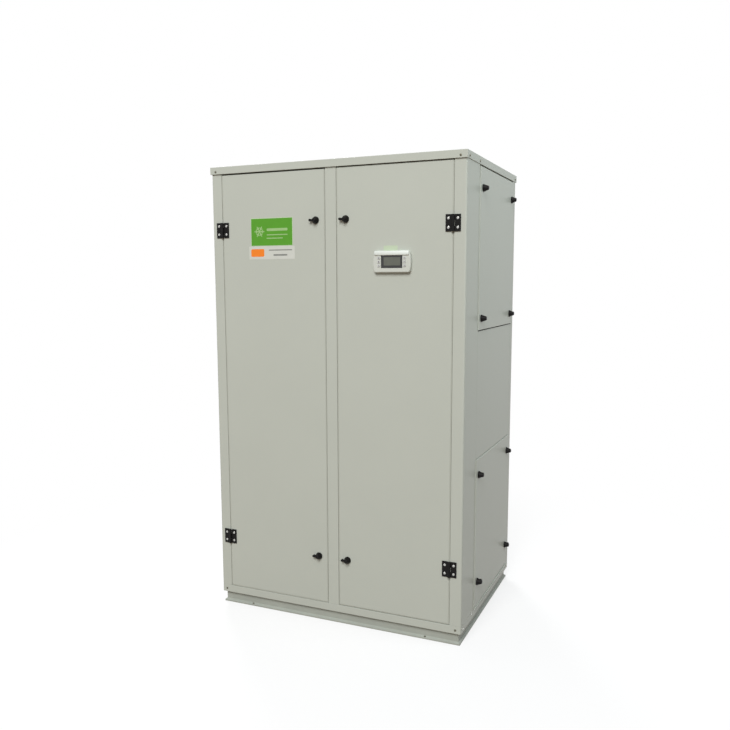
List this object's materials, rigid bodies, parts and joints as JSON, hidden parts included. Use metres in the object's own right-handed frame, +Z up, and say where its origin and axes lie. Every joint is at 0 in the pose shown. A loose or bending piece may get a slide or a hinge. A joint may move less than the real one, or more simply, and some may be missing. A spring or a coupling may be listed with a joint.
{
  "type": "computer room air conditioner cabinet",
  "caption": "Floor-standing computer room air conditioner: framed steel cabinet with front doors, latched side panels, a control display, a pan lid and a channel plinth.",
  "frame": {"origin": "centre of the bounding box in plan, at the floor", "axes": "+X to the right across the front, +Y from the doors to the rear, +Z up"},
  "size_m": [1.188, 0.839, 1.95],
  "materials": {
    "cabinet_paint": "light warm grey powder coat, satin",
    "plinth_paint": "light grey paint, satin",
    "black_nylon": "black moulded nylon, slightly glossy",
    "foam": "dark closed-cell insulation foam",
    "zinc_steel": "zinc-coated sheet steel",
    "display_plastic": "cream moulded plastic",
    "display_glass": "grey-green display window",
    "button_rubber": "grey silicone buttons"
  },
  "bodies": {
    "cabinet": {"floor_pan": "zinc_steel", "frame_hinge_leaves": "black_nylon", "front_bottom_rail": "cabinet_paint", "front_left_post": "cabinet_paint", "front_mullion": "cabinet_paint", "front_right_post": "cabinet_paint", "front_top_rail": "cabinet_paint", "left_bottom_rail": "cabinet_paint", "left_cross_rails": "zinc_steel", "left_latch_collars": "black_nylon", "left_lower_panel": "cabinet_paint", "left_middle_panel": "cabinet_paint", "left_side_knobs": "black_nylon", "left_top_rail": "cabinet_paint", "left_upper_panel": "cabinet_paint", "lid": "cabinet_paint", "plinth_front_channel": "plinth_paint", "plinth_left_channel": "plinth_paint", "plinth_rear_channel": "plinth_paint", "plinth_right_channel": "plinth_paint", "rear_bottom_rail": "cabinet_paint", "rear_left_panel": "cabinet_paint", "rear_left_post": "cabinet_paint", "rear_mullion": "cabinet_paint", "rear_right_panel": "cabinet_paint", "rear_right_post": "cabinet_paint", "rear_top_rail": "cabinet_paint", "right_bottom_rail": "cabinet_paint", "right_cross_rails": "zinc_steel", "right_latch_collars": "black_nylon", "right_lower_panel": "cabinet_paint", "right_middle_panel": "cabinet_paint", "right_top_rail": "cabinet_paint", "right_upper_panel": "cabinet_paint"},
    "left_door": {"left_door_hinge_leaves": "black_nylon", "left_door_insulation": "foam", "left_door_latch_collars": "black_nylon", "left_door_skin": "cabinet_paint"},
    "right_door": {"right_door_hinge_leaves": "black_nylon", "right_door_insulation": "foam", "right_door_latch_collars": "black_nylon", "right_door_skin": "cabinet_paint", "display_housing": "display_plastic", "display_screen": "display_glass", "display_buttons": "button_rubber"},
    "left_door_upper_knob": {"left_door_upper_knob": "black_nylon"},
    "left_door_lower_knob": {"left_door_lower_knob": "black_nylon"},
    "right_door_upper_knob": {"right_door_upper_knob": "black_nylon"},
    "right_door_lower_knob": {"right_door_lower_knob": "black_nylon"},
    "right_upper_bottom_front_knob": {"right_upper_bottom_front_knob": "black_nylon"},
    "right_upper_bottom_rear_knob": {"right_upper_bottom_rear_knob": "black_nylon"},
    "right_upper_top_front_knob": {"right_upper_top_front_knob": "black_nylon"},
    "right_upper_top_rear_knob": {"right_upper_top_rear_knob": "black_nylon"},
    "right_lower_bottom_front_knob": {"right_lower_bottom_front_knob": "black_nylon"},
    "right_lower_bottom_rear_knob": {"right_lower_bottom_rear_knob": "black_nylon"},
    "right_lower_top_front_knob": {"right_lower_top_front_knob": "black_nylon"},
    "right_lower_top_rear_knob": {"right_lower_top_rear_knob": "black_nylon"}
  },
  "joints": [
    {"name": "left_door_hinge", "type": "hinge", "parent": "cabinet", "child": "left_door", "pos_m": [-0.5165, -0.403, 1.00075], "axis": [0, 0, -1], "range_deg": [0, 120]},
    {"name": "right_door_hinge", "type": "hinge", "parent": "cabinet", "child": "right_door", "pos_m": [0.5165, -0.403, 1.00075], "axis": [0, 0, 1], "range_deg": [0, 120]},
    {"name": "left_door_upper_latch", "type": "hinge", "parent": "left_door", "child": "left_door_upper_knob", "pos_m": [-0.0675, -0.3965, 1.712], "axis": [0, -1, 0], "range_deg": [0, 90]},
    {"name": "left_door_lower_latch", "type": "hinge", "parent": "left_door", "child": "left_door_lower_knob", "pos_m": [-0.0675, -0.3965, 0.2895], "axis": [0, -1, 0], "range_deg": [0, 90]},
    {"name": "right_door_upper_latch", "type": "hinge", "parent": "right_door", "child": "right_door_upper_knob", "pos_m": [0.0675, -0.3965, 1.712], "axis": [0, 1, 0], "range_deg": [0, 90]},
    {"name": "right_door_lower_latch", "type": "hinge", "parent": "right_door", "child": "right_door_lower_knob", "pos_m": [0.0675, -0.3965, 0.2895], "axis": [0, 1, 0], "range_deg": [0, 90]},
    {"name": "right_upper_bottom_front_latch", "type": "hinge", "parent": "cabinet", "child": "right_upper_bottom_front_knob", "pos_m": [0.571, -0.1755, 1.313], "axis": [-1, 0, 0], "range_deg": [0, 90]},
    {"name": "right_upper_bottom_rear_latch", "type": "hinge", "parent": "cabinet", "child": "right_upper_bottom_rear_knob", "pos_m": [0.571, 0.3235, 1.313], "axis": [1, 0, 0], "range_deg": [0, 90]},
    {"name": "right_upper_top_front_latch", "type": "hinge", "parent": "cabinet", "child": "right_upper_top_front_knob", "pos_m": [0.571, -0.1755, 1.832], "axis": [-1, 0, 0], "range_deg": [0, 90]},
    {"name": "right_upper_top_rear_latch", "type": "hinge", "parent": "cabinet", "child": "right_upper_top_rear_knob", "pos_m": [0.571, 0.3235, 1.832], "axis": [1, 0, 0], "range_deg": [0, 90]},
    {"name": "right_lower_bottom_front_latch", "type": "hinge", "parent": "cabinet", "child": "right_lower_bottom_front_knob", "pos_m": [0.571, -0.1755, 0.1935], "axis": [-1, 0, 0], "range_deg": [0, 90]},
    {"name": "right_lower_bottom_rear_latch", "type": "hinge", "parent": "cabinet", "child": "right_lower_bottom_rear_knob", "pos_m": [0.571, 0.3235, 0.1935], "axis": [1, 0, 0], "range_deg": [0, 90]},
    {"name": "right_lower_top_front_latch", "type": "hinge", "parent": "cabinet", "child": "right_lower_top_front_knob", "pos_m": [0.571, -0.1755, 0.66], "axis": [-1, 0, 0], "range_deg": [0, 90]},
    {"name": "right_lower_top_rear_latch", "type": "hinge", "parent": "cabinet", "child": "right_lower_top_rear_knob", "pos_m": [0.571, 0.3235, 0.66], "axis": [1, 0, 0], "range_deg": [0, 90]}
  ]
}
